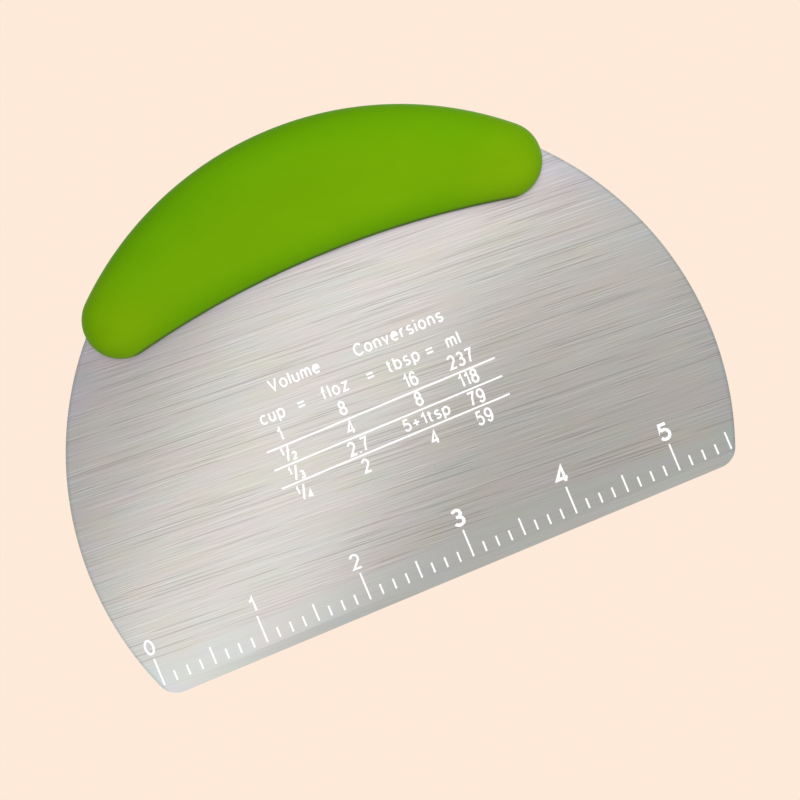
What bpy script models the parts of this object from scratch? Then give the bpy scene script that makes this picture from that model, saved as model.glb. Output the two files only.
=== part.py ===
"""Half-round bench scraper: a stainless disc segment held between two moulded handle shells.

Frame: +X along the scraping edge, +Y through the thickness towards the back, +Z up from the
scraping edge to the handle. The origin is the middle of the scraping edge. Lengths are in metres.

The two handle shells are one moulding used twice, the second turned half round about Z. Loose pins
pass through the blade and are pressed into blind bosses of both shells.
"""

import math

import bmesh
import bpy
from mathutils import Vector

# Blade: a 6 inch disc cut along a chord, which is the scraping edge.
BLADE_R = 0.0762
DISC_CENTRE_Z = 0.0312
BLADE_T = 0.001
CORNER_R = 0.005
GRIND_HEIGHT = 0.0022
GRIND_LAND_T = 0.0005

# Handle: a crescent whose back follows the disc and whose underside is a shallow arch.
HANDLE_OVERHANG = 0.0031
HANDLE_HALF_WIDTH = 0.056
UNDERSIDE_R = 0.220
UNDERSIDE_TOP_Z = 0.0796
HANDLE_HALF_T = 0.007
SHELL_WALL = 0.002

# Crowned face of a shell: a straight side, then a superellipse from the side to the flat middle.
SIDE_HEIGHT = 0.0016
CROWN_WIDTH = 0.0078
CROWN_POWER = 2.3
CROWN_STEPS = 7

# Pins and what stiffens the shells inside.
PIN_R = 0.0015
PIN_HALF_LENGTH = 0.0046
PIN_CHAMFER = 0.0003
PIN_CHAMFER_ANGLE = math.radians(60)
PIN_COUNT = 5
PIN_STEP_DEG = 11.5
BOSS_R = 0.0035
SOCKET_END_GAP = 0.0003
RIB_T = 0.0012
SPINE_RIB_END_DEG = 26.5

# Gap between separate pieces.
CLEARANCE = 0.0003

# Facets of round shapes.
DISC_FACETS = 120
LOBE_FACETS = 12
BACK_FACETS = 32
UNDERSIDE_FACETS = 18
SPINE_FACETS = 20
SMALL_ROUND_FACETS = 24
SMOOTH_ANGLE = math.radians(35)
WELD_DISTANCE = 1e-6

STEEL = ("stainless_steel", (0.62, 0.61, 0.59), 0.32, 1.0)
PLASTIC = ("green_plastic", (0.18, 0.37, 0.006), 0.45, 0.0)
PIN_STEEL = ("pin_steel", (0.50, 0.50, 0.50), 0.25, 1.0)

HANDLE_BACK_R = BLADE_R + HANDLE_OVERHANG
UNDERSIDE_CENTRE_Z = UNDERSIDE_TOP_Z - UNDERSIDE_R
PARTING_Y = CLEARANCE / 2
SLOT_HALF_T = BLADE_T / 2 + CLEARANCE

# Bosses and ribs start inside the blade's slot, which then trims them all to its own depth.
STIFFENER_START_Y = -BLADE_T / 2


def arc(centre_x, centre_z, radius, start, end, facets):
    """Points of an arc in the XZ plane, both ends included. Angles are in radians from +X."""
    step = (end - start) / facets
    angles = [start + step * i for i in range(facets + 1)]
    return [(centre_x + radius * math.cos(a), centre_z + radius * math.sin(a)) for a in angles]


def blade_outline(grown=0.0):
    """The disc segment with rounded corners, counter-clockwise seen from the front."""
    disc_r = BLADE_R + grown
    corner_r = CORNER_R + grown
    corner_x = math.sqrt((BLADE_R - CORNER_R) ** 2 - (DISC_CENTRE_Z - CORNER_R) ** 2)
    meet = math.atan2(CORNER_R - DISC_CENTRE_Z, corner_x)
    right = arc(corner_x, CORNER_R, corner_r, -math.pi / 2, meet, LOBE_FACETS)
    disc = arc(0, DISC_CENTRE_Z, disc_r, meet, math.pi - meet, DISC_FACETS)
    left = arc(-corner_x, CORNER_R, corner_r, math.pi - meet, 1.5 * math.pi, LOBE_FACETS)
    return right + disc[1:-1] + left


def end_lobe():
    """(x, z, radius) of the handle's right end: tangent to its back, its underside and its width."""
    q = (UNDERSIDE_R + HANDLE_BACK_R) / (DISC_CENTRE_Z - UNDERSIDE_CENTRE_Z)
    p = (DISC_CENTRE_Z + UNDERSIDE_CENTRE_Z + q * (UNDERSIDE_R - HANDLE_BACK_R)) / 2
    rise = p - DISC_CENTRE_Z
    half_b = q * rise - HANDLE_HALF_WIDTH + HANDLE_BACK_R
    c = HANDLE_HALF_WIDTH**2 + rise**2 - HANDLE_BACK_R**2
    radius = (-half_b + math.sqrt(half_b**2 - q**2 * c)) / q**2
    return HANDLE_HALF_WIDTH - radius, p + q * radius, radius


def handle_outline(inset):
    """The crescent moved inwards by inset, counter-clockwise seen from the front."""
    lobe_x, lobe_z, lobe_r = end_lobe()
    back_meet = math.atan2(lobe_z - DISC_CENTRE_Z, lobe_x)
    under_meet = math.atan2(lobe_z - UNDERSIDE_CENTRE_Z, lobe_x)
    lobe_start = under_meet - math.pi
    left_end = 2 * math.pi - under_meet
    back_r, end_r, under_r = HANDLE_BACK_R - inset, lobe_r - inset, UNDERSIDE_R + inset
    back = arc(0, DISC_CENTRE_Z, back_r, back_meet, math.pi - back_meet, BACK_FACETS)
    left = arc(-lobe_x, lobe_z, end_r, math.pi - back_meet, left_end, LOBE_FACETS)
    under = arc(0, UNDERSIDE_CENTRE_Z, under_r, math.pi - under_meet, under_meet, UNDERSIDE_FACETS)
    right = arc(lobe_x, lobe_z, end_r, lobe_start, back_meet, LOBE_FACETS)
    return back[:-1] + left[:-1] + under[:-1] + right[:-1]


def spine_arc():
    """(centre z, radius) of the arc along the middle of the handle, from one lobe to the other."""
    lobe_x, lobe_z, _ = end_lobe()
    top_z = (UNDERSIDE_TOP_Z + DISC_CENTRE_Z + HANDLE_BACK_R) / 2
    drop = top_z - lobe_z
    radius = (lobe_x**2 + drop**2) / (2 * drop)
    return top_z - radius, radius


def spine_point(angle):
    """(x, z) on that arc, at an angle from straight up towards +X."""
    centre_z, radius = spine_arc()
    return radius * math.sin(angle), centre_z + radius * math.cos(angle)


def crown_profile(inset, half_t):
    """(inset, depth) pairs from the parting plane to the flat middle of a shell's face."""
    rise = half_t - SIDE_HEIGHT
    width = CROWN_WIDTH - inset
    steps = [math.pi / 2 * i / CROWN_STEPS for i in range(CROWN_STEPS + 1)]
    power = 2 / CROWN_POWER
    crown = [
        (inset + width * (1 - math.cos(t) ** power), SIDE_HEIGHT + rise * math.sin(t) ** power)
        for t in steps[:-1]
    ]
    return [(inset, PARTING_Y), *crown, (inset + width, half_t)]


def material(spec):
    name, colour, roughness, metallic = spec
    made = bpy.data.materials.get(name) or bpy.data.materials.new(name)
    made.use_nodes = True
    shader = made.node_tree.nodes["Principled BSDF"]
    shader.inputs["Base Color"].default_value = (*colour, 1)
    shader.inputs["Roughness"].default_value = roughness
    shader.inputs["Metallic"].default_value = metallic
    return made


def add_object(name, data, collection):
    made = bpy.data.objects.new(name, data)
    collection.objects.link(made)
    return made


def make_helper(obj):
    obj.hide_render = True
    obj.display_type = "WIRE"
    return obj


def evaluated_mesh(obj, name):
    """The object's shape with its modifiers, in its own coordinates, as a new welded mesh."""
    bpy.context.view_layer.update()
    evaluated = obj.evaluated_get(bpy.context.evaluated_depsgraph_get())
    mesh = bpy.data.meshes.new_from_object(evaluated)
    mesh.name = name
    edit = bmesh.new()
    edit.from_mesh(mesh)
    bmesh.ops.remove_doubles(edit, verts=edit.verts, dist=WELD_DISTANCE)
    edit.to_mesh(mesh)
    edit.free()
    return mesh


def flat_plate(name, outline, thickness, collection):
    """A plate in the XZ plane, centred on Y = 0: a filled 2D curve, extruded and made a mesh."""
    curve = bpy.data.curves.new(name + "_outline", "CURVE")
    curve.dimensions = "2D"
    curve.fill_mode = "BOTH"
    curve.extrude = thickness / 2
    spline = curve.splines.new("POLY")
    spline.points.add(len(outline) - 1)
    for point, (x, z) in zip(spline.points, outline):
        point.co = (x, z, 0, 1)
    spline.use_cyclic_u = True
    drawn = add_object(name + "_curve", curve, collection)
    drawn.rotation_euler = (math.pi / 2, 0, 0)
    mesh = evaluated_mesh(drawn, name)
    plate = add_object(name, mesh, collection)
    plate.matrix_world = drawn.matrix_world
    bpy.data.objects.remove(drawn)
    return plate


def cylinder_along_y(name, radius, start_y, end_y, x, z, collection):
    mesh = bpy.data.meshes.new(name)
    edit = bmesh.new()
    bmesh.ops.create_cone(
        edit,
        cap_ends=True,
        segments=SMALL_ROUND_FACETS,
        radius1=radius,
        radius2=radius,
        depth=abs(end_y - start_y),
    )
    edit.to_mesh(mesh)
    edit.free()
    made = add_object(name, mesh, collection)
    made.rotation_euler = (math.pi / 2, 0, 0)
    made.location = (x, (start_y + end_y) / 2, z)
    return made


def loft(name, rings, close_start, collection):
    """Quads between rings of equal length, a face on the last ring and, if asked, on the first."""
    edit = bmesh.new()
    rows = [[edit.verts.new(point) for point in ring] for ring in rings]
    for lower, upper in zip(rows, rows[1:]):
        for i in range(len(lower)):
            j = (i + 1) % len(lower)
            edit.faces.new((lower[i], lower[j], upper[j], upper[i]))
    edit.faces.new(rows[-1])
    if close_start:
        edit.faces.new(reversed(rows[0]))
    mesh = bpy.data.meshes.new(name)
    edit.to_mesh(mesh)
    edit.free()
    return add_object(name, mesh, collection)


def crowned_form(name, inset, half_t, close_start, collection):
    """The front half of the handle's form, bulging towards -Y from the parting plane."""
    rings = [
        [(x, -depth, z) for x, z in handle_outline(ring_inset)]
        for ring_inset, depth in crown_profile(inset, half_t)
    ]
    return loft(name, rings, close_start, collection)


def boolean(obj, operation, other):
    modifier = obj.modifiers.new(f"{operation.lower()} {other.name}", "BOOLEAN")
    modifier.operation = operation
    modifier.object = other
    return modifier


def pin_angles():
    middle = (PIN_COUNT - 1) / 2
    return [math.radians(PIN_STEP_DEG) * (i - middle) for i in range(PIN_COUNT)]


def build_pin_holes(collection):
    """Cutters for the holes that the pins pass through in the blade and sit in at the bosses."""
    reach = PIN_HALF_LENGTH + SOCKET_END_GAP
    holes = []
    for i, angle in enumerate(pin_angles(), 1):
        x, z = spine_point(angle)
        name = f"pin_hole_{i}"
        hole = cylinder_along_y(name, PIN_R + CLEARANCE, -reach, reach, x, z, collection)
        holes.append(make_helper(hole))
    return holes


def move_to(obj, collection):
    for owner in list(obj.users_collection):
        owner.objects.unlink(obj)
    collection.objects.link(obj)


def build_blade(pin_holes, parts, helpers):
    """The stamped blade, ground to a blunt land along its scraping edge on both faces."""
    blade = flat_plate("blade", blade_outline(), BLADE_T, parts)
    for hole in pin_holes:
        boolean(blade, "DIFFERENCE", hole)
    taper = (BLADE_T - GRIND_LAND_T) / 2
    slope = math.atan2(taper, GRIND_HEIGHT)
    for side, face in ((-1, "front"), (1, "rear")):
        bpy.ops.mesh.primitive_cube_add(size=1)
        stone = bpy.context.object
        stone.name = f"grinding_{face}"
        stone.scale = (4 * BLADE_R, BLADE_T, 4 * GRIND_HEIGHT)
        stone.rotation_euler = (side * -slope, 0, 0)
        corner = Vector((0, side * GRIND_LAND_T / 2, 0))
        outwards = Vector((0, side * math.cos(slope), -math.sin(slope)))
        stone.location = corner + outwards * BLADE_T / 2
        move_to(stone, helpers)
        boolean(blade, "DIFFERENCE", make_helper(stone))
    return blade


def build_stiffeners(trimmer, helpers):
    """Bosses, cross ribs and the lengthwise rib of one shell, each cut to lie inside its wall."""
    made = []
    angles = pin_angles()
    height = HANDLE_HALF_T + STIFFENER_START_Y
    middle_y = STIFFENER_START_Y - height / 2
    for i, angle in enumerate(angles, 1):
        x, z = spine_point(angle)
        name = f"boss_{i}"
        boss = cylinder_along_y(name, BOSS_R, -HANDLE_HALF_T, STIFFENER_START_Y, x, z, helpers)
        made.append(boss)
    for i, (left, right) in enumerate(zip(angles, angles[1:]), 1):
        angle = (left + right) / 2
        x, z = spine_point(angle)
        bpy.ops.mesh.primitive_cube_add(size=1)
        rib = bpy.context.object
        rib.name = f"cross_rib_{i}"
        rib.scale = (RIB_T, height, HANDLE_BACK_R / 2)
        rib.rotation_euler = (0, angle, 0)
        rib.location = (x, middle_y, z)
        move_to(rib, helpers)
        made.append(rib)
    centre_z, radius = spine_arc()
    start = math.radians(90 - SPINE_RIB_END_DEG)
    end = math.radians(90 + SPINE_RIB_END_DEG)
    above = arc(0, centre_z, radius + RIB_T / 2, start, end, SPINE_FACETS)
    below = arc(0, centre_z, radius - RIB_T / 2, end, start, SPINE_FACETS)
    spine = flat_plate("spine_rib", above + below, height, helpers)
    spine.location.y = middle_y
    made.append(spine)
    for obj in made:
        make_helper(obj)
        boolean(obj, "INTERSECT", trimmer)
    return made


def build_shell_mesh(pin_holes, helpers):
    """One handle shell, in its place at the front."""
    blank = crowned_form("shell_blank", 0, HANDLE_HALF_T, False, helpers)
    wall = blank.modifiers.new("wall", "SOLIDIFY")
    wall.thickness = SHELL_WALL
    wall.offset = -1
    wall.use_even_offset = True
    half_wall = SHELL_WALL / 2
    trimmer = crowned_form("rib_trimmer", half_wall, HANDLE_HALF_T - half_wall, True, helpers)
    make_helper(trimmer)
    for stiffener in build_stiffeners(trimmer, helpers):
        boolean(blank, "UNION", stiffener)
    slot = flat_plate("blade_slot", blade_outline(CLEARANCE), 2 * SLOT_HALF_T, helpers)
    boolean(blank, "DIFFERENCE", make_helper(slot))
    for hole in pin_holes:
        boolean(blank, "DIFFERENCE", hole)
    return evaluated_mesh(make_helper(blank), "handle_shell")


def build_pins(parts):
    pins = []
    for i, angle in enumerate(pin_angles(), 1):
        x, z = spine_point(angle)
        name = f"locking_pin_{i}"
        pin = cylinder_along_y(name, PIN_R, -PIN_HALF_LENGTH, PIN_HALF_LENGTH, x, z, parts)
        chamfer = pin.modifiers.new("chamfer", "BEVEL")
        chamfer.width = PIN_CHAMFER
        chamfer.segments = 1
        chamfer.limit_method = "ANGLE"
        chamfer.angle_limit = PIN_CHAMFER_ANGLE
        pins.append(pin)
    return pins


def finish(obj, spec, assembly):
    obj.data.materials.clear()
    obj.data.materials.append(material(spec))
    obj.data.shade_smooth()
    obj.data.set_sharp_from_angle(angle=SMOOTH_ANGLE)
    obj.parent = assembly


def main():
    for obj in list(bpy.data.objects):
        bpy.data.objects.remove(obj)
    parts = bpy.data.collections.new("bench_scraper")
    helpers = bpy.data.collections.new("cutters")
    bpy.context.scene.collection.children.link(parts)
    bpy.context.scene.collection.children.link(helpers)
    assembly = add_object("bench_scraper", None, parts)

    pin_holes = build_pin_holes(helpers)
    blade = build_blade(pin_holes, parts, helpers)
    shell_mesh = build_shell_mesh(pin_holes, helpers)
    front_shell = add_object("handle_front_shell", shell_mesh, parts)
    rear_shell = add_object("handle_rear_shell", shell_mesh, parts)
    rear_shell.rotation_euler = (0, 0, math.pi)
    pins = build_pins(parts)

    finish(blade, STEEL, assembly)
    for shell in (front_shell, rear_shell):
        finish(shell, PLASTIC, assembly)
    for pin in pins:
        finish(pin, PIN_STEEL, assembly)


main()
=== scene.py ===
"""Looks of the half-round bench scraper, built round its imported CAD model.

Frame: +X along the scraping edge, +Y away from the printed face, +Z up to the handle, in metres.
"""

import math

import bmesh
import bpy
from mathutils import Matrix, Vector
from mathutils.geometry import delaunay_2d_cdt


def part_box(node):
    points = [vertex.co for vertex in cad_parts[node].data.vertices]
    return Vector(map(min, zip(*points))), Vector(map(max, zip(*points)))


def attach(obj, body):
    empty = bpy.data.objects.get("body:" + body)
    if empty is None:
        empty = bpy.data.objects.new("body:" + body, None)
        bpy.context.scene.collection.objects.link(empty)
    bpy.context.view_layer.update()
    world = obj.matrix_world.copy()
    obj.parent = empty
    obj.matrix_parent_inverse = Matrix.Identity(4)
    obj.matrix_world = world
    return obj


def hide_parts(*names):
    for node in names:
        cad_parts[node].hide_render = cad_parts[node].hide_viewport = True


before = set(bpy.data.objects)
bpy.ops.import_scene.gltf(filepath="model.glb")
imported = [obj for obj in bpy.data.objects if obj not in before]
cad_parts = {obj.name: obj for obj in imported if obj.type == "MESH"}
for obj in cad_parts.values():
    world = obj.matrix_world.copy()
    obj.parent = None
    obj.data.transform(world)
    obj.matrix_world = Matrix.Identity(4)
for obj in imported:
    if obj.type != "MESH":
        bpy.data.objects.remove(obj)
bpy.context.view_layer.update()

BLADE_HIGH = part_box("blade")[1]
SHELL_LOW, SHELL_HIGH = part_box("handle_front_shell")
ROOT = "root"
PINS = [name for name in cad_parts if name.startswith("locking_pin")]
SIDES = (("front", -1), ("rear", 1))

# Blade, as in the CAD model.
BLADE_R = 0.0762
BLADE_HALF_T = BLADE_HIGH.y
DISC_CENTRE_Z = BLADE_HIGH.z - BLADE_R
DISC_CENTRE = (0, 0, DISC_CENTRE_Z)
CORNER_R = 0.005
GRIND_HEIGHT = 0.0022
GRIND_LAND_T = 0.0005
CLEARANCE = 0.0003
EDGE_ROUND = 0.00018
EDGE_ROUND_STEPS = 3
EDGE_ANGLE = math.radians(40)

# Handle, as in the CAD model, with a finer crown.
HANDLE_HALF_WIDTH = SHELL_HIGH.x
HANDLE_BACK_R = SHELL_HIGH.z - DISC_CENTRE_Z
HANDLE_HALF_T = -SHELL_LOW.y
UNDERSIDE_R = 0.220
UNDERSIDE_TOP_Z = 0.0796
UNDERSIDE_CENTRE_Z = UNDERSIDE_TOP_Z - UNDERSIDE_R
UNDERSIDE_CENTRE = (0, 0, UNDERSIDE_CENTRE_Z)
SHELL_WALL = 0.002
BOSS_R = 0.0035
SIDE_HEIGHT = 0.0016
CROWN_WIDTH = 0.0098
CROWN_POWER = 2.2
CROWN_SHARE = 0.92
CORE_INSET = 0.0086
RIM_ROUND = 0.00035
CREASE_ANGLE = math.radians(50)

# Facets of round shapes.
DISC_FACETS = 360
CORNER_FACETS = 24
LOBE_FACETS = 40
LONG_FACETS = 120
CROWN_STEPS = 26
CORE_STEPS = 12
PIN_HOLE_FACETS = 32
BOW_STEP_DEGREES = 12
BOW_FACETS_MIN = 4
SWEEP_TURN_FACETS = 16
SWEEP_FACETS = 64

# Distances below which two places count as one.
SAME_PLACE = 1e-5
SAME_POINT = 1e-6
FUSE_DISTANCE = 1e-7

# Brushed finish: its lines fall slightly towards +X.
BRUSH_ANGLE = math.radians(3.6)
CROSS_ANGLE = math.radians(0.35)
LANE_SPREAD = 7.31

# Brush lines: the length over which each stays alike and the pitch between them.
FINE_LANES = (0.014, 0.00022)
DARK_LANES = (0.045, 0.00024)
LIGHT_LANES = (0.045, 0.00025)
# Dark and light lines come up between these two levels of their noise.
LANE_SHOWS = (0.62, 0.74)
# How far each kind moves the tone, and the share of it that the foot band loses.
FINE_SWING = 0.75
DARK_SWING = -0.45
LIGHT_SWING = 0.18
FOOT_CALM = 0.8

# The plainer band along the ground edge.
FOOT_BAND_TOP_Z = 0.0085
FOOT_BAND_FADE = 0.002

# Tints multiply a colour where they are full, and leave it bare elsewhere.
BARE = (1.0, 1.0, 1.0)
FOOT_TINT = (1.0, 1.045, 1.05)
# Painted shade: the steel darker along its curved edge, where its rounded rim turns from the light.
STEEL_EDGE_SHADE_TINT = (0.80, 0.84, 0.82)
STEEL_EDGE_SHADE_WIDTH = 0.0009
# Painted shade: the steel a little darker and cooler towards its curved edge.
STEEL_MARGIN_SHADE_TINT = (0.95, 0.98, 1.01)
STEEL_MARGIN_SHADE_WIDTH = 0.007
# Painted shade: the steel darker just below the handle, where the handle shades it.
STEEL_UNDER_HANDLE_SHADE_TINT = (0.98, 0.95, 1.02)
STEEL_UNDER_HANDLE_SHADE_WIDTH = 0.006
# Painted shade: the handle deeper green along its top edge, where its rounded back turns from the
# light.
BACK_SHADE_TINT = (0.80, 1.0, 0.55)
BACK_SHADE_WIDTH = 0.016
# Painted shade: the handle deeper green along its lower edge, above the blade.
UNDERSIDE_SHADE_TINT = (0.80, 0.94, 0.70)
UNDERSIDE_SHADE_WIDTH = 0.007
# Painted shadow: a thin dark line on the handle's lower edge, where it meets the blade.
CONTACT_SHADOW_TINT = (0.35, 0.33, 0.35)
CONTACT_SHADOW_WIDTH = 0.0007
# Painted light: both ends of the handle paler and brighter.
END_LIGHT_TINT = (1.26, 1.03, 1.5)
END_LIGHT_R = 0.058
END_LIGHT_WIDTH = 0.016

# Ruler: true inches in eighths, centred on the edge.
INCH = 0.0254
RULER_EIGHTHS = 44
TICK_FOOT_Z = 0.0030
INCH_TICK = 0.0065
HALF_TICK = 0.0041
EIGHTH_TICK = 0.0024
TICK_W = 0.00042
NUMBER_GAP = 0.0009
# Numbers before this many eighths are printed thinner.
THIN_NUMBERS_END = 24

# Type: height of a figure, weight of a stroke, stretch across, gap between characters.
NUMBER_STYLE = (0.0042, 0.00074, 1.16, 0.0004)
THIN_NUMBER_STYLE = (0.0037, 0.00052, 1.02, 0.0004)
TITLE_STYLE = (0.0030, 0.00045, 1.04, 0.00040)
HEAD_STYLE = (0.0031, 0.00044, 0.98, 0.00046)
CELL_STYLE = (0.0034, 0.00048, 0.84, 0.00032)
NOTE_STYLE = (0.0029, 0.00044, 1.06, 0.00036)
NOTE_LIFT = 0.0004

# Fractions: the height and the drop of their small figures are shares of a cell's height.
SMALL_FIGURE = 0.6
UPPER_FIGURE_SHIFT = 0.0012
LOWER_FIGURE_SHIFT = 0.0013
LOWER_FIGURE_DROP = 0.08

# Conversion table.
TABLE_COLUMNS = (-0.0237, -0.0083, 0.0085, 0.0208)
EQUALS_COLUMNS = (-0.0166, 0.0004, 0.0150)
TABLE_HEAD_Z = 0.0504
TABLE_ROW_STEP = 0.00473
TABLE_LINE_TOP_Z = 0.04287
TABLE_LINE_STEP = 0.00444
TABLE_LINE_W = 0.00042
TABLE_LINE_HALF_LENGTH = 0.0281
TITLE_BASE_Z = 0.0551
TITLE_WORDS = (("Volume", -0.0157), ("Conversions", 0.0099))
TABLE_HEAD = ("cup", "floz", "tbsp", "ml")
TABLE_ROWS = (
    ("1", "8", "16", "237"),
    ("1/2", "4", "8", "118"),
    ("1/3", "2.7", "5+1tsp", "79"),
    ("1/4", "2", "4", "59"),
)
INK_T = 0.00002
# The corner of a stroke reaches out by no more than its half width divided by this.
MITRE_LIMIT = 0.45

# Light from all round, by how squarely it falls on either face: 0 from the sides, 1 head-on.
SKY = ((0.0, 0.2), (0.35, 0.55), (0.6, 1.2), (0.8, 1.15), (0.96, 0.53))
SKY_WARMTH = 0.01

# Lamps, one of each kind before either face: place, with its distance from the blade's middle plane
# second; target; width and height; power.
STRIP = ((-0.034, 0.10, 0.034), (-0.034, 0, 0.034), (0.054, 0.5), 0.057)
STRIP_TURN = math.radians(45)
FILL = ((0.30, 0.32, 0.02), (0.02, 0, 0.09), (0.25, 0.25), 0.42)
GLOW = ((0.078, 0.12, 0.085), (0.070, 0, 0.075), (0.08, 0.08), 0.0055)

# Seamless sweep round the object.
SWEEP_R = 3.2
SWEEP_TURN_R = 1.2
SWEEP_FLOOR_Z = -1.6
SWEEP_CEILING_Z = 3.0
SWEEP_COLOUR = (1.0, 0.823, 0.697, 1)

# Camera: square to the printed face, with the object turned in the picture.
VIEW_WIDTH = 0.18205
VIEW_CENTRE = (0.0045, 0.0423)
VIEW_ROLL = math.radians(22.64)
LENS = 200
SENSOR = 36
FAR_CLIP = 20


# ---------------------------------------------------------------- outlines


def arc(centre_x, centre_z, radius, start, end, facets):
    """Points of an arc in the XZ plane, both ends included. Angles are in radians from +X."""
    step = (end - start) / facets
    angles = [start + step * i for i in range(facets + 1)]
    return [(centre_x + radius * math.cos(a), centre_z + radius * math.sin(a)) for a in angles]


def blade_outline():
    """The disc segment with rounded corners, counter-clockwise seen from the front."""
    corner_x = math.sqrt((BLADE_R - CORNER_R) ** 2 - (DISC_CENTRE_Z - CORNER_R) ** 2)
    meet = math.atan2(CORNER_R - DISC_CENTRE_Z, corner_x)
    right = arc(corner_x, CORNER_R, CORNER_R, -math.pi / 2, meet, CORNER_FACETS)
    disc = arc(0, DISC_CENTRE_Z, BLADE_R, meet, math.pi - meet, DISC_FACETS)
    left = arc(-corner_x, CORNER_R, CORNER_R, math.pi - meet, 1.5 * math.pi, CORNER_FACETS)
    return right + disc[1:-1] + left


def end_lobe():
    """(x, z, radius) of the handle's right end: tangent to its back, its underside and its width."""
    q = (UNDERSIDE_R + HANDLE_BACK_R) / (DISC_CENTRE_Z - UNDERSIDE_CENTRE_Z)
    p = (DISC_CENTRE_Z + UNDERSIDE_CENTRE_Z + q * (UNDERSIDE_R - HANDLE_BACK_R)) / 2
    rise = p - DISC_CENTRE_Z
    half_b = q * rise - HANDLE_HALF_WIDTH + HANDLE_BACK_R
    c = HANDLE_HALF_WIDTH**2 + rise**2 - HANDLE_BACK_R**2
    radius = (-half_b + math.sqrt(half_b**2 - q**2 * c)) / q**2
    return HANDLE_HALF_WIDTH - radius, p + q * radius, radius


def handle_arcs(inset):
    """The crescent moved inwards by inset: its back, left end, underside and right end in turn."""
    lobe_x, lobe_z, lobe_r = end_lobe()
    back_meet = math.atan2(lobe_z - DISC_CENTRE_Z, lobe_x)
    under_meet = math.atan2(lobe_z - UNDERSIDE_CENTRE_Z, lobe_x)
    back_r, end_r, under_r = HANDLE_BACK_R - inset, lobe_r - inset, UNDERSIDE_R + inset
    left_end = 2 * math.pi - under_meet
    right_start = under_meet - math.pi
    return (
        arc(0, DISC_CENTRE_Z, back_r, back_meet, math.pi - back_meet, LONG_FACETS),
        arc(-lobe_x, lobe_z, end_r, math.pi - back_meet, left_end, LOBE_FACETS),
        arc(0, UNDERSIDE_CENTRE_Z, under_r, math.pi - under_meet, under_meet, LONG_FACETS),
        arc(lobe_x, lobe_z, end_r, right_start, back_meet, LOBE_FACETS),
    )


def handle_outline(inset):
    """The whole crescent moved inwards by inset, as one closed loop."""
    return [point for part in handle_arcs(inset) for point in part[:-1]]


def crown_depth(inset):
    """Depth of the shell's face from the parting plane, at this distance in from its outline."""
    rise = HANDLE_HALF_T - SIDE_HEIGHT
    over = max(0.0, 1 - inset / CROWN_WIDTH)
    roll = (1 - over**CROWN_POWER) ** (1 / CROWN_POWER)
    deepest = (HANDLE_BACK_R + DISC_CENTRE_Z - UNDERSIDE_TOP_Z) / 2
    swell = 1 - (1 - min(inset / deepest, 1)) ** 2
    return SIDE_HEIGHT + rise * (CROWN_SHARE * roll + (1 - CROWN_SHARE) * swell)


def depth_in_handle(x, z):
    """Distance from a point in the middle of the crescent to the nearer of its two long sides."""
    from_back = HANDLE_BACK_R - math.hypot(x, z - DISC_CENTRE_Z)
    from_under = math.hypot(x, z - UNDERSIDE_CENTRE_Z) - UNDERSIDE_R
    return min(from_back, from_under)


def over_blade(x, z):
    """Whether this point of the face lies over the blade or within a clearance of its edge."""
    return math.hypot(x, z - DISC_CENTRE_Z) < BLADE_R + CLEARANCE


# ---------------------------------------------------------------- mesh helpers


def add_mesh(name, mesh, material):
    """A finished piece of the object, riding on its only body."""
    piece = bpy.data.objects.new(name, mesh)
    bpy.context.scene.collection.objects.link(piece)
    piece.data.materials.clear()
    piece.data.materials.append(material)
    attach(piece, ROOT)
    return piece


def evaluated_mesh(obj, name):
    """The object's shape with its modifiers, in the row frame, as a new mesh."""
    bpy.context.view_layer.update()
    evaluated = obj.evaluated_get(bpy.context.evaluated_depsgraph_get())
    mesh = bpy.data.meshes.new_from_object(evaluated)
    mesh.name = name
    mesh.transform(obj.matrix_world)
    return mesh


def prism(edit, outline, near_y, far_y):
    """A closed plate between two depths, added to a bmesh. The outline is counter-clockwise."""
    near = [edit.verts.new((x, near_y, z)) for x, z in outline]
    far = [edit.verts.new((x, far_y, z)) for x, z in outline]
    edit.faces.new(near)
    edit.faces.new(reversed(far))
    for i in range(len(outline)):
        j = (i + 1) % len(outline)
        edit.faces.new((near[j], near[i], far[i], far[j]))


def mesh_from(edit, name):
    """Turns a bmesh into a mesh whose faces all look outwards, and frees it."""
    bmesh.ops.recalc_face_normals(edit, faces=edit.faces)
    mesh = bpy.data.meshes.new(name)
    edit.to_mesh(mesh)
    edit.free()
    return mesh


# ---------------------------------------------------------------- materials


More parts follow.
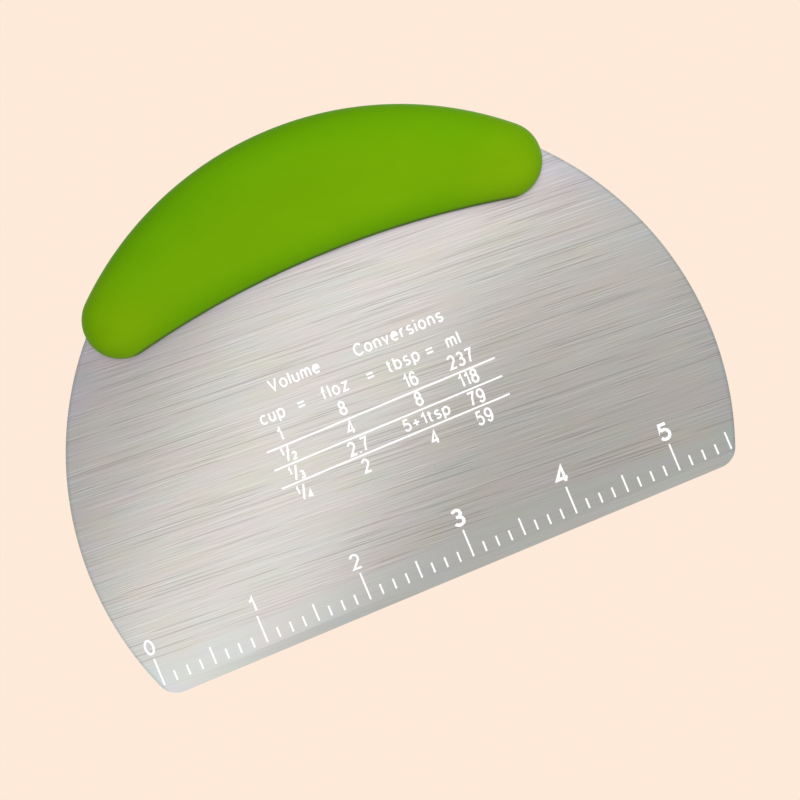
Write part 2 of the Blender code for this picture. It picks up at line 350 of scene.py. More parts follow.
class Shader:
    """A node-based material and short ways of adding to it."""

    def __init__(self, name, roughness, metallic=0.0):
        self.material = bpy.data.materials.new(name)
        self.material.use_nodes = True
        self.tree = self.material.node_tree
        self.surface = self.tree.nodes["Principled BSDF"]
        self.set("Roughness", roughness)
        self.set("Metallic", metallic)
        self.place = self.add("ShaderNodeTexCoord").outputs["Object"]

    def set(self, socket, value):
        self.surface.inputs[socket].default_value = value

    def add(self, kind, **settings):
        node = self.tree.nodes.new(kind)
        for key, value in settings.items():
            setattr(node, key, value)
        return node

    def link(self, source, target):
        self.tree.links.new(source, target)

    def grain(self, size, turn=0.0, detail=2.0, offset=0.0):
        """Noise whose blobs have this size along the axes, in metres, turned about Y."""
        mapping = self.add("ShaderNodeMapping", vector_type="TEXTURE")
        mapping.inputs["Location"].default_value = (offset, offset, offset)
        mapping.inputs["Rotation"].default_value = (0, turn, 0)
        mapping.inputs["Scale"].default_value = size
        self.link(self.place, mapping.inputs["Vector"])
        noise = self.add("ShaderNodeTexNoise")
        noise.inputs["Scale"].default_value = 1
        noise.inputs["Detail"].default_value = detail
        self.link(mapping.outputs["Vector"], noise.inputs["Vector"])
        return noise.outputs["Fac"]

    def lanes(self, length, pitch, turn, offset=0.0):
        """Parallel brush lines a pitch apart, each varying along itself over about this length.

        Each is set against the next, so that many together average out to an even sheet.
        """
        mapping = self.add("ShaderNodeMapping", vector_type="TEXTURE")
        mapping.inputs["Location"].default_value = (offset, 0, offset)
        mapping.inputs["Rotation"].default_value = (0, turn, 0)
        mapping.inputs["Scale"].default_value = (length, 1, pitch)
        self.link(self.place, mapping.inputs["Vector"])
        split = self.add("ShaderNodeSeparateXYZ")
        self.link(mapping.outputs["Vector"], split.inputs["Vector"])
        lane = self.math("FLOOR", split.outputs["Z"])
        own = self.lane_noise(split.outputs["X"], lane)
        next_lane = self.lane_noise(split.outputs["X"], self.math("ADD", lane, 1))
        return self.math("ADD", self.math("SUBTRACT", own, next_lane), 0.5)

    def lane_noise(self, along, lane):
        """Noise along one lane, unrelated to that of its neighbours."""
        spot = self.add("ShaderNodeCombineXYZ")
        self.link(along, spot.inputs["X"])
        self.link(self.math("MULTIPLY", lane, LANE_SPREAD), spot.inputs["Z"])
        noise = self.add("ShaderNodeTexNoise")
        noise.inputs["Scale"].default_value = 1
        noise.inputs["Detail"].default_value = 1
        self.link(spot.outputs["Vector"], noise.inputs["Vector"])
        return noise.outputs["Fac"]

    def fade(self, value, start, end):
        """0 at start to 1 at end, smoothly."""
        node = self.add("ShaderNodeMapRange", interpolation_type="SMOOTHSTEP")
        node.inputs["From Min"].default_value = start
        node.inputs["From Max"].default_value = end
        self.link(value, node.inputs["Value"])
        return node.outputs["Result"]

    def below(self, height, width):
        """1 below this height, fading to 0 over this width."""
        split = self.add("ShaderNodeSeparateXYZ")
        self.link(self.place, split.inputs["Vector"])
        return self.fade(split.outputs["Z"], height + width / 2, height - width / 2)

    def near(self, centre, radius, width):
        """1 at this distance from a centre, fading to 0 this far inside it, or outside if negative."""
        node = self.add("ShaderNodeVectorMath", operation="DISTANCE")
        node.inputs[1].default_value = centre
        self.link(self.place, node.inputs[0])
        return self.fade(node.outputs["Value"], radius - width, radius)

    def math(self, operation, *values):
        node = self.add("ShaderNodeMath", operation=operation)
        for socket, value in zip(node.inputs, values):
            if isinstance(value, (int, float)):
                socket.default_value = value
            else:
                self.link(value, socket)
        return node.outputs["Value"]

    def total(self, base, *terms):
        """base plus, for each (grain, amount), the amount times the grain's swing about its mean."""
        value = base
        for grain, amount in terms:
            value = self.math("MULTIPLY_ADD", grain, amount, value)
            value = self.math("ADD", value, -amount / 2)
        return value

    def ramp(self, value, *stops):
        """A colour ramp; each stop is (position, colour)."""
        node = self.add("ShaderNodeValToRGB")
        elements = node.color_ramp.elements
        while len(elements) < len(stops):
            elements.new(0.5)
        for element, (position, colour) in zip(elements, stops):
            element.position = position
            element.color = (*colour, 1)
        self.link(value, node.inputs["Fac"])
        return node.outputs["Color"]

    def multiply(self, colour, by):
        """The product of two colours."""
        node = self.add("ShaderNodeMix", data_type="RGBA", blend_type="MULTIPLY")
        node.inputs["Factor"].default_value = 1
        self.link(colour, node.inputs["A"])
        self.link(by, node.inputs["B"])
        return node.outputs["Result"]

    def tint(self, colour, mask, by):
        """The colour multiplied by a tint where the mask is 1 and left as it is where it is 0."""
        return self.multiply(colour, self.ramp(mask, (0.0, BARE), (1.0, by)))

    def bump(self, height, distance, strength=1.0):
        node = self.add("ShaderNodeBump")
        node.inputs["Distance"].default_value = distance
        node.inputs["Strength"].default_value = strength
        self.link(height, node.inputs["Height"])
        self.link(node.outputs["Normal"], self.surface.inputs["Normal"])

    def colour(self, socket):
        self.link(socket, self.surface.inputs["Base Color"])

    def rough(self, socket):
        self.link(socket, self.surface.inputs["Roughness"])


def grey(level, warmth=0.0):
    """A grey of this level, with this share moved from blue to red."""
    return (level * (1 + warmth), level, level * (1 - warmth))


def brushed_steel():
    """Stainless sheet with brush lines and scratches, plainer along its ground edge, with painted
    shade along its curved edge and below the handle.
    """
    steel = Shader("brushed_stainless", 0.3, 1.0)
    fine = steel.lanes(*FINE_LANES, BRUSH_ANGLE, offset=0.53)
    dark = steel.lanes(*DARK_LANES, BRUSH_ANGLE + CROSS_ANGLE, offset=0.31)
    light = steel.lanes(*LIGHT_LANES, BRUSH_ANGLE - CROSS_ANGLE, offset=0.71)
    wide = steel.grain((0.05, 0.02, 0.0030), BRUSH_ANGLE, offset=0.17)
    foot = steel.below(FOOT_BAND_TOP_Z, FOOT_BAND_FADE)
    calm = steel.math("MULTIPLY_ADD", foot, -FOOT_CALM, 1.0)
    swing = steel.total(0.0, (fine, FINE_SWING))
    swing = steel.math("MULTIPLY_ADD", steel.fade(dark, *LANE_SHOWS), DARK_SWING, swing)
    swing = steel.math("MULTIPLY_ADD", steel.fade(light, *LANE_SHOWS), LIGHT_SWING, swing)
    streaks = steel.math("MULTIPLY_ADD", swing, calm, 0.5)
    tone = steel.ramp(
        streaks,
        (0.0, (0.445, 0.425, 0.400)),
        (0.5, (0.614, 0.590, 0.556)),
        (1.0, (0.785, 0.760, 0.722)),
    )
    rosy = steel.grain((0.012, 0.02, 0.0035), BRUSH_ANGLE, offset=0.93)
    golden = steel.grain((0.014, 0.02, 0.004), BRUSH_ANGLE, offset=0.37)
    pink = steel.ramp(rosy, (0.3, (0.978, 1.015, 1.0)), (0.7, (1.022, 0.985, 1.0)))
    gold = steel.ramp(golden, (0.3, (1.0, 1.0, 1.04)), (0.7, (1.0, 1.0, 0.96)))
    # Painted shade along the blade's curved edge.
    rim = steel.near(DISC_CENTRE, BLADE_R, STEEL_EDGE_SHADE_WIDTH)
    # Painted shade near the blade's curved edge.
    margin_shade = steel.near(DISC_CENTRE, BLADE_R, STEEL_MARGIN_SHADE_WIDTH)
    # Painted shade on the steel just below the handle.
    under_handle_shade = steel.near(UNDERSIDE_CENTRE, UNDERSIDE_R, STEEL_UNDER_HANDLE_SHADE_WIDTH)
    colour = steel.multiply(steel.multiply(tone, pink), gold)
    colour = steel.tint(colour, foot, FOOT_TINT)
    colour = steel.tint(colour, rim, STEEL_EDGE_SHADE_TINT)
    colour = steel.tint(colour, margin_shade, STEEL_MARGIN_SHADE_TINT)
    colour = steel.tint(colour, under_handle_shade, STEEL_UNDER_HANDLE_SHADE_TINT)
    steel.colour(colour)
    steel.rough(steel.total(0.31, (wide, 0.06), (fine, 0.10)))
    steel.bump(streaks, 0.000006, 0.6)
    steel.set("Anisotropic", 0.6)
    across = steel.add("ShaderNodeCombineXYZ")
    across.inputs["X"].default_value = math.sin(BRUSH_ANGLE)
    across.inputs["Z"].default_value = math.cos(BRUSH_ANGLE)
    steel.link(across.outputs["Vector"], steel.surface.inputs["Tangent"])
    return steel.material


def handle_plastic():
    """Leaf-green satin moulding: fine grain, faint flow marks, painted shade on its rims and where it
    meets the blade, painted light at its ends.
    """
    plastic = Shader("green_moulding", 0.5)
    flow = plastic.grain((0.045, 0.02, 0.012), offset=0.4)
    mottle = plastic.grain((0.004, 0.004, 0.004), detail=3, offset=0.2)
    texture = plastic.grain((0.00022, 0.00022, 0.00022), detail=3, offset=0.6)
    tone = plastic.total(0.5, (flow, 0.8), (mottle, 0.25), (texture, 0.15))
    colour = plastic.ramp(
        tone,
        (0.2, (0.126, 0.302, 0.0012)),
        (0.5, (0.140, 0.320, 0.0015)),
        (0.8, (0.156, 0.336, 0.0020)),
    )
    # Painted shade along the handle's top edge.
    back = plastic.near(DISC_CENTRE, HANDLE_BACK_R, BACK_SHADE_WIDTH)
    # Painted shade along the handle's lower edge.
    underside_shade = plastic.near(UNDERSIDE_CENTRE, UNDERSIDE_R, -UNDERSIDE_SHADE_WIDTH)
    # Painted shadow where the handle meets the blade.
    contact_shadow = plastic.near(UNDERSIDE_CENTRE, UNDERSIDE_R, -CONTACT_SHADOW_WIDTH)
    # Painted light at both ends of the handle.
    ends = plastic.near((0, 0, SHELL_HIGH.z), END_LIGHT_R, END_LIGHT_WIDTH)
    colour = plastic.tint(colour, back, BACK_SHADE_TINT)
    colour = plastic.tint(colour, underside_shade, UNDERSIDE_SHADE_TINT)
    colour = plastic.tint(colour, contact_shadow, CONTACT_SHADOW_TINT)
    colour = plastic.tint(colour, ends, END_LIGHT_TINT)
    plastic.colour(colour)
    plastic.rough(plastic.total(0.5, (mottle, 0.15), (texture, 0.2)))
    plastic.bump(texture, 0.00002, 0.5)
    plastic.set("Specular IOR Level", 0.15)
    plastic.set("Specular Tint", (1.0, 0.9, 0.12, 1))
    plastic.set("IOR", 1.35)
    return plastic.material


def pin_wire():
    """Drawn wire: fine lines along the pin and a dull oil-dark film."""
    wire = Shader("pin_wire", 0.3, 1.0)
    drawn = wire.grain((0.00015, 0.006, 0.00015), detail=3, offset=0.3)
    film = wire.grain((0.002, 0.002, 0.002), offset=0.8)
    tone = wire.total(0.5, (drawn, 0.8), (film, 0.5))
    wire.colour(wire.ramp(tone, (0.2, grey(0.36)), (0.8, grey(0.58))))
    wire.rough(wire.total(0.3, (drawn, 0.2), (film, 0.2)))
    return wire.material


def print_ink():
    """White screen-print: a slightly uneven coat with worn specks that let the steel through."""
    ink = Shader("white_print", 0.55)
    coat = ink.grain((0.0012, 0.001, 0.0005), BRUSH_ANGLE, detail=3, offset=0.1)
    speck = ink.grain((0.0002, 0.0002, 0.0002), detail=2, offset=0.5)
    tone = ink.total(0.5, (coat, 0.6), (speck, 0.4))
    ink.colour(ink.ramp(tone, (0.22, grey(0.80)), (0.38, grey(0.93)), (0.8, grey(0.97))))
    ink.rough(ink.total(0.55, (coat, 0.2)))
    ink.bump(speck, 0.000008, 0.4)
    return ink.material


# ---------------------------------------------------------------- blade


def build_blade(material):
    """The sheet, its two ground bevels and pin holes, and its edges deburred all round."""
    edit = bmesh.new()
    prism(edit, blade_outline(), -BLADE_HALF_T, BLADE_HALF_T)
    half_land = GRIND_LAND_T / 2
    slope = math.atan2(BLADE_HALF_T - half_land, GRIND_HEIGHT)
    for side in (-1, 1):
        bmesh.ops.bisect_plane(
            edit,
            geom=edit.verts[:] + edit.edges[:] + edit.faces[:],
            plane_co=(0, side * half_land, 0),
            plane_no=(0, side * math.cos(slope), -math.sin(slope)),
            clear_outer=True,
        )
        open_edges = [e for e in edit.edges if e.is_boundary]
        bmesh.ops.edgeloop_fill(edit, edges=open_edges)
    for edge in edit.edges:
        edge.smooth = any(abs(v.co.z - GRIND_HEIGHT) > SAME_PLACE for v in edge.verts)
    mesh = mesh_from(edit, "blade_sheet")
    mesh.shade_smooth()
    blade = add_mesh("blade_sheet", mesh, material)
    drills = [pin_drill(node) for node in PINS]
    for drill in drills:
        cut = blade.modifiers.new("pin_hole", "BOOLEAN")
        cut.object = drill
    deburr = blade.modifiers.new("deburr", "BEVEL")
    deburr.width = EDGE_ROUND
    deburr.segments = EDGE_ROUND_STEPS
    deburr.limit_method = "ANGLE"
    deburr.angle_limit = EDGE_ANGLE
    deburr.harden_normals = True
    finished = evaluated_mesh(blade, "blade_sheet_mesh")
    blade.modifiers.clear()
    blade.data = finished
    for drill in drills:
        bpy.data.objects.remove(drill)
    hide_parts("blade")


def pin_drill(node):
    """A cutter along Y, a clearance wider than this pin."""
    low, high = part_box(node)
    edit = bmesh.new()
    radius = (high.x - low.x) / 2 + CLEARANCE
    bmesh.ops.create_cone(
        edit,
        segments=PIN_HOLE_FACETS,
        cap_ends=True,
        radius1=radius,
        radius2=radius,
        depth=4 * BLADE_HALF_T,
    )
    place = Matrix.Translation((low + high) / 2) @ Matrix.Rotation(math.pi / 2, 4, "X")
    bmesh.ops.transform(edit, verts=edit.verts, matrix=place)
    drill = bpy.data.objects.new("drill", mesh_from(edit, "drill"))
    bpy.context.scene.collection.objects.link(drill)
    return drill


# ---------------------------------------------------------------- handle


def parting_depth(point, inner):
    """How far the shell's rim stops short of the middle plane: more where it closes on the blade."""
    if over_blade(*point) or over_blade(*inner):
        return BLADE_HALF_T + CLEARANCE
    return CLEARANCE / 2


def build_skin():
    """The outer face of the front shell: rings from its rim inwards, then the swelling middle."""
    edit = bmesh.new()
    rim = handle_outline(0)
    tucked = handle_outline(RIM_ROUND)
    inner = handle_outline(SHELL_WALL)
    parting = [parting_depth(p, q) for p, q in zip(rim, inner)]
    rings = [
        [(x, -d, z) for (x, z), d in zip(tucked, parting)],
        [(x, -(d + RIM_ROUND), z) for (x, z), d in zip(rim, parting)],
    ]
    for i in range(CROWN_STEPS + 1):
        inset = CORE_INSET * (1 - math.cos(math.pi / 2 * i / CROWN_STEPS))
        rings.append([(x, -crown_depth(inset), z) for x, z in handle_outline(inset)])
    rows = [[edit.verts.new(point) for point in ring] for ring in rings]
    for lower, upper in zip(rows, rows[1:]):
        for i in range(len(lower)):
            j = (i + 1) % len(lower)
            edit.faces.new((lower[i], lower[j], upper[j], upper[i]))
    fill_core(edit, rows[-1])
    return edit


def fill_core(edit, ring):
    """Bridges the last ring's back and underside with rows of vertices on the swelling face."""
    back = ring[: LONG_FACETS + 1]
    under_start = LONG_FACETS + LOBE_FACETS
    under = list(reversed(ring[under_start : under_start + LONG_FACETS + 1]))
    columns = []
    for top, low in zip(back, under):
        column = [top]
        for step in range(1, CORE_STEPS):
            point = top.co.lerp(low.co, step / CORE_STEPS)
            point.y = -crown_depth(depth_in_handle(point.x, point.z))
            column.append(edit.verts.new(point))
        columns.append([*column, low])
    for right, left in zip(columns, columns[1:]):
        for i in range(CORE_STEPS):
            edit.faces.new((right[i], left[i], left[i + 1], right[i + 1]))
    left_end = ring[LONG_FACETS : under_start + 1]
    right_end = ring[under_start + LONG_FACETS :] + ring[:1]
    edit.faces.new(left_end + list(reversed(columns[-1][1:-1])))
    edit.faces.new(right_end + columns[0][1:-1])


def add_boss(edit, node):
    """A post from the front shell's wall to the blade, with a blind socket for this pin."""
    low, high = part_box(node)
    middle = (low + high) / 2
    socket_r = (high.x - low.x) / 2 + CLEARANCE
    mouth_y = -BLADE_HALF_T - CLEARANCE
    profile = (
        (socket_r, low.y - CLEARANCE),
        (socket_r, mouth_y),
        (BOSS_R, mouth_y),
        (BOSS_R, SHELL_WALL / 2 - HANDLE_HALF_T),
    )
    turns = [2 * math.pi * i / PIN_HOLE_FACETS for i in range(PIN_HOLE_FACETS)]
    rings = [
        [edit.verts.new((middle.x + r * math.cos(a), y, middle.z + r * math.sin(a))) for a in turns]
        for r, y in profile
    ]
    for lower, upper in zip(rings, rings[1:]):
        for i in range(PIN_HOLE_FACETS):
            j = (i + 1) % PIN_HOLE_FACETS
            edit.faces.new((lower[i], lower[j], upper[j], upper[i]))
    edit.faces.new(rings[0])
    edit.faces.new(rings[-1])


def build_shells(material):
    """Both half shells: one hollow moulding with a boss for each pin, used twice."""
    skin = bpy.data.objects.new("skin", mesh_from(build_skin(), "skin"))
    bpy.context.scene.collection.objects.link(skin)
    wall = skin.modifiers.new("wall", "SOLIDIFY")
    wall.thickness = SHELL_WALL
    wall.offset = -1
    edit = bmesh.new()
    for node in PINS:
        add_boss(edit, node)
    bosses = bpy.data.objects.new("bosses", mesh_from(edit, "bosses"))
    bpy.context.scene.collection.objects.link(bosses)
    fuse = skin.modifiers.new("bosses", "BOOLEAN")
    fuse.operation = "UNION"
    fuse.object = bosses
    mesh = evaluated_mesh(skin, "handle_moulding")
    for helper in (skin, bosses):
        bpy.data.objects.remove(helper)
    mesh.shade_smooth()
    mesh.set_sharp_from_angle(angle=CREASE_ANGLE)
    half_turn = mesh.copy()
    half_turn.transform(Matrix.Rotation(math.pi, 4, "Z"))
    for name, shape in (("front", mesh), ("rear", half_turn)):
        shell = add_mesh(f"grip_{name}_shell", shape, material)
        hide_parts(f"handle_{name}_shell")


# ---------------------------------------------------------------- print


def bow(x, z, wide, tall, start, end):
    """An arc of an upright ellipse with these half-axes, between two angles in degrees."""
    facets = max(BOW_FACETS_MIN, round(abs(end - start) / BOW_STEP_DEGREES))
    angles = [math.radians(start + (end - start) * i / facets) for i in range(facets + 1)]
    return [(x + wide * math.cos(a), z + tall * math.sin(a)) for a in angles]


def oval(x, z, wide, tall):
    """A closed stroke: its last point is its first."""
    return bow(x, z, wide, tall, 0, 360)


# Plain sans-serif characters: the middle lines of their strokes, where a capital is 1 high.
X_HEIGHT = 0.72
STEM = [(0, X_HEIGHT), (0, 0)]
BOWL = oval(0.27, 0.36, 0.27, 0.36)
NINE = [oval(0.28, 0.69, 0.28, 0.31), [*bow(0.28, 0.5, 0.28, 0.5, -140, 0), (0.56, 0.69)]]
GLYPHS = {
    "0": [oval(0.28, 0.5, 0.28, 0.5)],
    "1": [[(0, 0.74), (0.14, 0.8), (0.26, 1), (0.26, 0)]],
    "2": [[*bow(0.27, 0.72, 0.27, 0.28, 165, -35), (0, 0), (0.56, 0)]],
    "3": [
        [*bow(0.26, 0.765, 0.235, 0.235, 155, -90), (0.17, 0.53)],
        [(0.17, 0.53), *bow(0.26, 0.265, 0.28, 0.265, 90, -155)],
    ],
    "4": [[(0.46, 0), (0.46, 1), (0, 0.25), (0.62, 0.25)]],
    "5": [[(0.5, 1), (0.12, 1), *bow(0.26, 0.32, 0.28, 0.32, 140, -150)]],
    "6": [[(0.56 - x, 1 - z) for x, z in stroke] for stroke in NINE],
    "7": [[(0, 1), (0.54, 1), (0.31, 0.55), (0.18, 0)]],
    "8": [oval(0.28, 0.76, 0.23, 0.24), oval(0.28, 0.27, 0.28, 0.27)],
    "9": NINE,
    ".": [[(0.05, -0.05), (0.05, 0.06)]],
    "+": [[(0, 0.42), (0.56, 0.42)], [(0.28, 0.14), (0.28, 0.7)]],
    "=": [[(0, 0.22), (0.6, 0.22)], [(0, 0.54), (0.6, 0.54)]],
    "/": [[(0, -0.06), (0.42, 1.06)]],
    "C": [bow(0.37, 0.5, 0.37, 0.5, 42, 318)],
    "V": [[(0, 1), (0.33, 0), (0.66, 1)]],
    "b": [[(0, 1), (0, 0)], BOWL],
    "c": [bow(0.27, 0.36, 0.27, 0.36, 45, 315)],
    "e": [[(0, 0.38), (0.54, 0.38), *bow(0.27, 0.36, 0.27, 0.36, 12, 315)]],
    "f": [[(0.13, 0), *bow(0.31, 0.8, 0.18, 0.2, 180, 85)], [(0, 0.7), (0.32, 0.7)]],
    "i": [STEM, [(0, 0.92), (0, 1.04)]],
    "l": [[(0, 1), (0, 0)]],
    "m": [
        STEM,
        [*bow(0.19, 0.5, 0.19, 0.22, 180, 0), (0.38, 0)],
        [*bow(0.57, 0.5, 0.19, 0.22, 180, 0), (0.76, 0)],
    ],
    "n": [STEM, [*bow(0.23, 0.47, 0.23, 0.25, 180, 0), (0.46, 0)]],
    "o": [BOWL],
    "p": [[(0, X_HEIGHT), (0, -0.3)], BOWL],
    "r": [STEM, bow(0.24, 0.46, 0.24, 0.26, 180, 80)],
    "s": [[*bow(0.23, 0.54, 0.2, 0.18, 35, 270), *bow(0.23, 0.18, 0.22, 0.18, 90, -145)]],
    "t": [[(0.13, 0.92), *bow(0.26, 0.15, 0.13, 0.15, 180, 285)], [(0, 0.7), (0.32, 0.7)]],
    "u": [
        [(0, X_HEIGHT), *bow(0.23, 0.25, 0.23, 0.25, 180, 360), (0.46, X_HEIGHT)],
        [(0.46, X_HEIGHT), (0.46, 0)],
    ],
    "v": [[(0, X_HEIGHT), (0.24, 0), (0.48, X_HEIGHT)]],
    "z": [[(0, 0.7), (0.46, 0.7), (0, 0), (0.48, 0)]],
}


def stroke_sides(points, width, closed):
    """Points to the left and right of a stroke's middle line, with its corners mitred."""
    last = len(points) - 1
    sides = []
    for i, point in enumerate(points):
        before = points[i - 1] if i or closed else None
        after = points[(i + 1) % len(points)] if i < last or closed else None
        ways = [q - p for p, q in ((before, point), (point, after)) if p and q]
        way = sum((w.normalized() for w in ways), Vector((0, 0))).normalized()
        spread = max(way.dot(ways[0].normalized()), MITRE_LIMIT)
        out = Vector((-way.y, way.x)) * (width / 2 / spread)
        sides.append((point + out, point - out))
    return sides


def ribbon(points, width):
    """Four-cornered patches that cover a stroke of this width."""
    points = [Vector(p) for p in points]
    points = [p for i, p in enumerate(points) if i == 0 or (p - points[i - 1]).length > SAME_POINT]
    closed = (points[0] - points[-1]).length < SAME_POINT
    if closed:
        points = points[:-1]
    sides = stroke_sides(points, width, closed)
    ends = sides[1:] + sides[:1] if closed else sides[1:]
    return [(*side, *reversed(end)) for side, end in zip(sides, ends)]


def add_mark(edit, strokes):
    """Flat strokes fused into one shape where they cross, added to a bmesh."""
    patches = [patch for points, width in strokes for patch in ribbon(points, width)]
    corners = [corner for patch in patches for corner in patch]
    quads = [range(4 * i, 4 * i + 4) for i in range(len(patches))]
    flat, _, faces, _, _, covered = delaunay_2d_cdt(corners, [], quads, 1, FUSE_DISTANCE)
    verts = [edit.verts.new((p.x, -BLADE_HALF_T - INK_T, p.y)) for p in flat]
    for face, patch in zip(faces, covered):
        if patch:
            edit.faces.new([verts[i] for i in face])


def printed(name, marks, material):
    """One printed piece from many marks, each made of (points, width) strokes."""
    edit = bmesh.new()
    for strokes in marks:
        add_mark(edit, strokes)
    bmesh.ops.delete(edit, geom=[v for v in edit.verts if not v.link_faces], context="VERTS")
    rear = bmesh.ops.extrude_face_region(edit, geom=edit.faces[:], use_keep_orig=True)["geom"]
    rear = [item for item in rear if isinstance(item, bmesh.types.BMVert)]
    bmesh.ops.translate(edit, verts=rear, vec=(0, 2 * INK_T, 0))
    return add_mesh(name, mesh_from(edit, name), material)


def line_of_type(text, x, z, height, weight, stretch, gap):
    """The characters of a text centred at x, its baseline at z and its figures this high."""
    rise = height - weight
    run = rise * stretch
    widths = [max(px for stroke in GLYPHS[c] for px, _ in stroke) * run + weight for c in text]
    left = x - (sum(widths) + gap * (len(text) - 1)) / 2 + weight / 2
    marks = []
    for character, width in zip(text, widths):
        marks.append([])
        for stroke in GLYPHS[character]:
            points = [(left + px * run, z + weight / 2 + pz * rise) for px, pz in stroke]
            marks[-1].append((points, weight))
        left += width + gap
    return marks


def build_ruler(material):
    """Ticks every eighth of an inch, longer at halves and inches, and a number at each inch."""
    start = -RULER_EIGHTHS / 16 * INCH
    ticks = []
    numbers = []
    baseline = TICK_FOOT_Z + INCH_TICK + NUMBER_GAP
    for i in range(RULER_EIGHTHS + 1):
        length = INCH_TICK if i % 8 == 0 else HALF_TICK if i % 4 == 0 else EIGHTH_TICK
        x = start + i * INCH / 8
        ticks.append([(((x, TICK_FOOT_Z), (x, TICK_FOOT_Z + length)), TICK_W)])
        if i % 8 == 0:
            style = THIN_NUMBER_STYLE if i < THIN_NUMBERS_END else NUMBER_STYLE
            numbers += line_of_type(str(i // 8), x, baseline, *style)
    printed("ruler_ticks", ticks, material)
    printed("ruler_numbers", numbers, material)


def fraction(text, x, z):
    """A fraction as a raised figure, a stroke and a lowered figure."""
    upper, lower = text.split("/")
    height = CELL_STYLE[0]
    small = height * SMALL_FIGURE
    style = (small, *CELL_STYLE[1:])
    return (
        line_of_type(upper, x - UPPER_FIGURE_SHIFT, z + height - small, *style)
        + line_of_type("/", x, z, *CELL_STYLE)
        + line_of_type(lower, x + LOWER_FIGURE_SHIFT, z - height * LOWER_FIGURE_DROP, *style)
    )


def cell(text, x, z):
    """A figure, a fraction or a longer and smaller note, on its row's baseline."""
    if "/" in text:
        return fraction(text, x, z)
    if "+" in text:
        return line_of_type(text, x, z + NOTE_LIFT, *NOTE_STYLE)
    return line_of_type(text, x, z, *CELL_STYLE)


def build_table(material):
    """The printed conversion table: title, heads, four rows and the lines between them."""
    title = []
    for text, x in TITLE_WORDS:
        title += line_of_type(text, x, TITLE_BASE_Z, *TITLE_STYLE)
    head_z = TABLE_HEAD_Z - HEAD_STYLE[0] / 2
    heads = []
    for text, x in zip(TABLE_HEAD, TABLE_COLUMNS):
        heads += line_of_type(text, x, head_z, *HEAD_STYLE)
    for x in EQUALS_COLUMNS:
        heads += line_of_type("=", x, head_z, *HEAD_STYLE)
    figures = []
    for i, row in enumerate(TABLE_ROWS, 1):
        z = TABLE_HEAD_Z - i * TABLE_ROW_STEP - CELL_STYLE[0] / 2
        for text, x in zip(row, TABLE_COLUMNS):
            figures += cell(text, x, z)
    lines = []
    for i in range(len(TABLE_ROWS) - 1):
        z = TABLE_LINE_TOP_Z - i * TABLE_LINE_STEP
        ends = ((-TABLE_LINE_HALF_LENGTH, z), (TABLE_LINE_HALF_LENGTH, z))
        lines.append([(ends, TABLE_LINE_W)])
    printed("table_title", title, material)
    printed("table_heads", heads, material)
    printed("table_figures", figures, material)
    printed("table_lines", lines, material)


# ---------------------------------------------------------------- studio


def build_backdrop():
    """A seamless sweep: floor, wall and ceiling in one turned surface, evenly lit."""
    turn_x = SWEEP_R - SWEEP_TURN_R
    low_z = SWEEP_FLOOR_Z + SWEEP_TURN_R
    high_z = SWEEP_CEILING_Z - SWEEP_TURN_R
    profile = [
        (0.0, SWEEP_FLOOR_Z),
        *arc(turn_x, low_z, SWEEP_TURN_R, -math.pi / 2, 0, SWEEP_TURN_FACETS),
        *arc(turn_x, high_z, SWEEP_TURN_R, 0, math.pi / 2, SWEEP_TURN_FACETS),
        (0.0, SWEEP_CEILING_Z),
    ]
    edit = bmesh.new()
    verts = [edit.verts.new((x, 0, z)) for x, z in profile]
    edges = [edit.edges.new(pair) for pair in zip(verts, verts[1:])]
    bmesh.ops.spin(
        edit,
        geom=verts + edges,
        cent=(0, 0, 0),
        axis=(0, 0, 1),
        angle=2 * math.pi,
        steps=SWEEP_FACETS,
    )
    bmesh.ops.remove_doubles(edit, verts=edit.verts, dist=SAME_PLACE)
    sweep = bpy.data.objects.new("studio_sweep", mesh_from(edit, "studio_sweep"))
    bpy.context.scene.collection.objects.link(sweep)
    paper = bpy.data.materials.new("sweep_paper")
    paper.use_nodes = True
    tree = paper.node_tree
    tree.nodes.remove(tree.nodes["Principled BSDF"])
    glow = tree.nodes.new("ShaderNodeEmission")
    glow.inputs["Color"].default_value = SWEEP_COLOUR
    tree.links.new(glow.outputs["Emission"], tree.nodes["Material Output"].inputs["Surface"])
    sweep.data.materials.append(paper)
    for kind in ("diffuse", "glossy", "transmission", "shadow"):
        setattr(sweep, f"visible_{kind}", False)


def build_world():
    """Soft neutral light: brightest aslant to either face, dimmer head-on, dimmest from the sides."""
    world = bpy.data.worlds.new("studio")
    bpy.context.scene.world = world
    world.use_nodes = True
    tree = world.node_tree
    background = tree.nodes["Background"]
    direction = tree.nodes.new("ShaderNodeTexCoord")
    split = tree.nodes.new("ShaderNodeSeparateXYZ")
    squareness = tree.nodes.new("ShaderNodeMath")
    squareness.operation = "ABSOLUTE"
    ramp = tree.nodes.new("ShaderNodeValToRGB")
    elements = ramp.color_ramp.elements
    while len(elements) < len(SKY):
        elements.new(0.5)
    for element, (position, level) in zip(elements, SKY):
        element.position = position
        element.color = (*grey(level, SKY_WARMTH), 1)
    tree.links.new(direction.outputs["Generated"], split.inputs["Vector"])
    tree.links.new(split.outputs["Y"], squareness.inputs[0])
    tree.links.new(squareness.outputs["Value"], ramp.inputs["Fac"])
    tree.links.new(ramp.outputs["Color"], background.inputs["Color"])


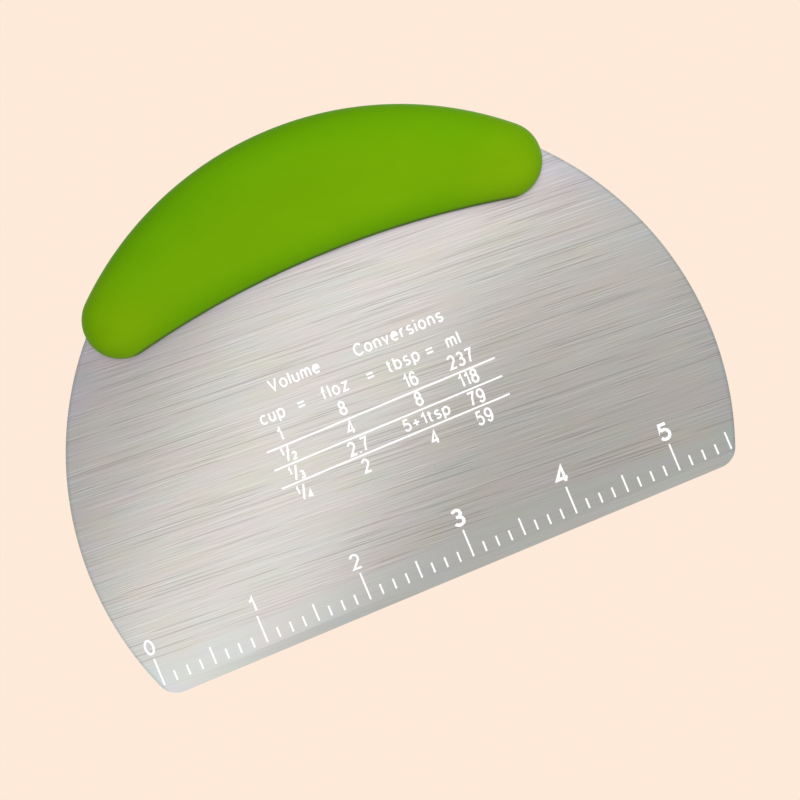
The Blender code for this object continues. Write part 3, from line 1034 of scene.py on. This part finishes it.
def softbox(name, side, place, target, size, power):
    """A rectangular lamp on this side of the blade, -1 in front or 1 behind, unseen by the camera."""
    x, away, z = place
    light = bpy.data.lights.new(name, "AREA")
    light.shape = "RECTANGLE"
    light.size, light.size_y = size
    light.energy = power
    made = bpy.data.objects.new(name, light)
    bpy.context.scene.collection.objects.link(made)
    made.location = (x, side * away, z)
    made.rotation_euler = (Vector(target) - made.location).to_track_quat("-Z", "Y").to_euler()
    made.visible_camera = False
    return made


def build_lights():
    """A diagonal strip close to each face gives the steel its soft band of light.

    The fills don't show in the steel, so they light the plastic and the ink. The glows lift the end
    that the strips leave dark.
    """
    for name, side in SIDES:
        strip = softbox(f"{name}_strip", side, *STRIP)
        strip.rotation_euler.rotate_axis("Z", side * STRIP_TURN)
    for name, side in SIDES:
        fill = softbox(f"{name}_fill", side, *FILL)
        fill.visible_glossy = False
    for name, side in SIDES:
        softbox(f"{name}_glow", side, *GLOW)


def build_camera():
    """A long lens square to the printed face, rolled so that the object lies aslant."""
    distance = VIEW_WIDTH * LENS / SENSOR
    data = bpy.data.cameras.new("camera")
    data.lens = LENS
    data.sensor_width = SENSOR
    data.clip_end = FAR_CLIP
    camera = bpy.data.objects.new("camera", data)
    bpy.context.scene.collection.objects.link(camera)
    right = Vector((math.cos(VIEW_ROLL), 0, -math.sin(VIEW_ROLL)))
    up = Vector((math.sin(VIEW_ROLL), 0, math.cos(VIEW_ROLL)))
    back = Vector((0, -1, 0))
    turn = Matrix((right, up, back)).transposed().to_4x4()
    x, z = VIEW_CENTRE
    camera.matrix_world = Matrix.Translation((x, -BLADE_HALF_T - distance, z)) @ turn
    bpy.context.scene.camera = camera


def main():
    """Builds the looks of every piece, then the studio round them."""
    build_camera()
    build_blade(brushed_steel())
    build_shells(handle_plastic())
    wire = pin_wire()
    for name in PINS:
        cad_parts[name].material_slots[0].material = wire
    ink = print_ink()
    build_ruler(ink)
    build_table(ink)
    build_backdrop()
    build_world()
    build_lights()
    bpy.context.scene.view_settings.view_transform = "Standard"


main()
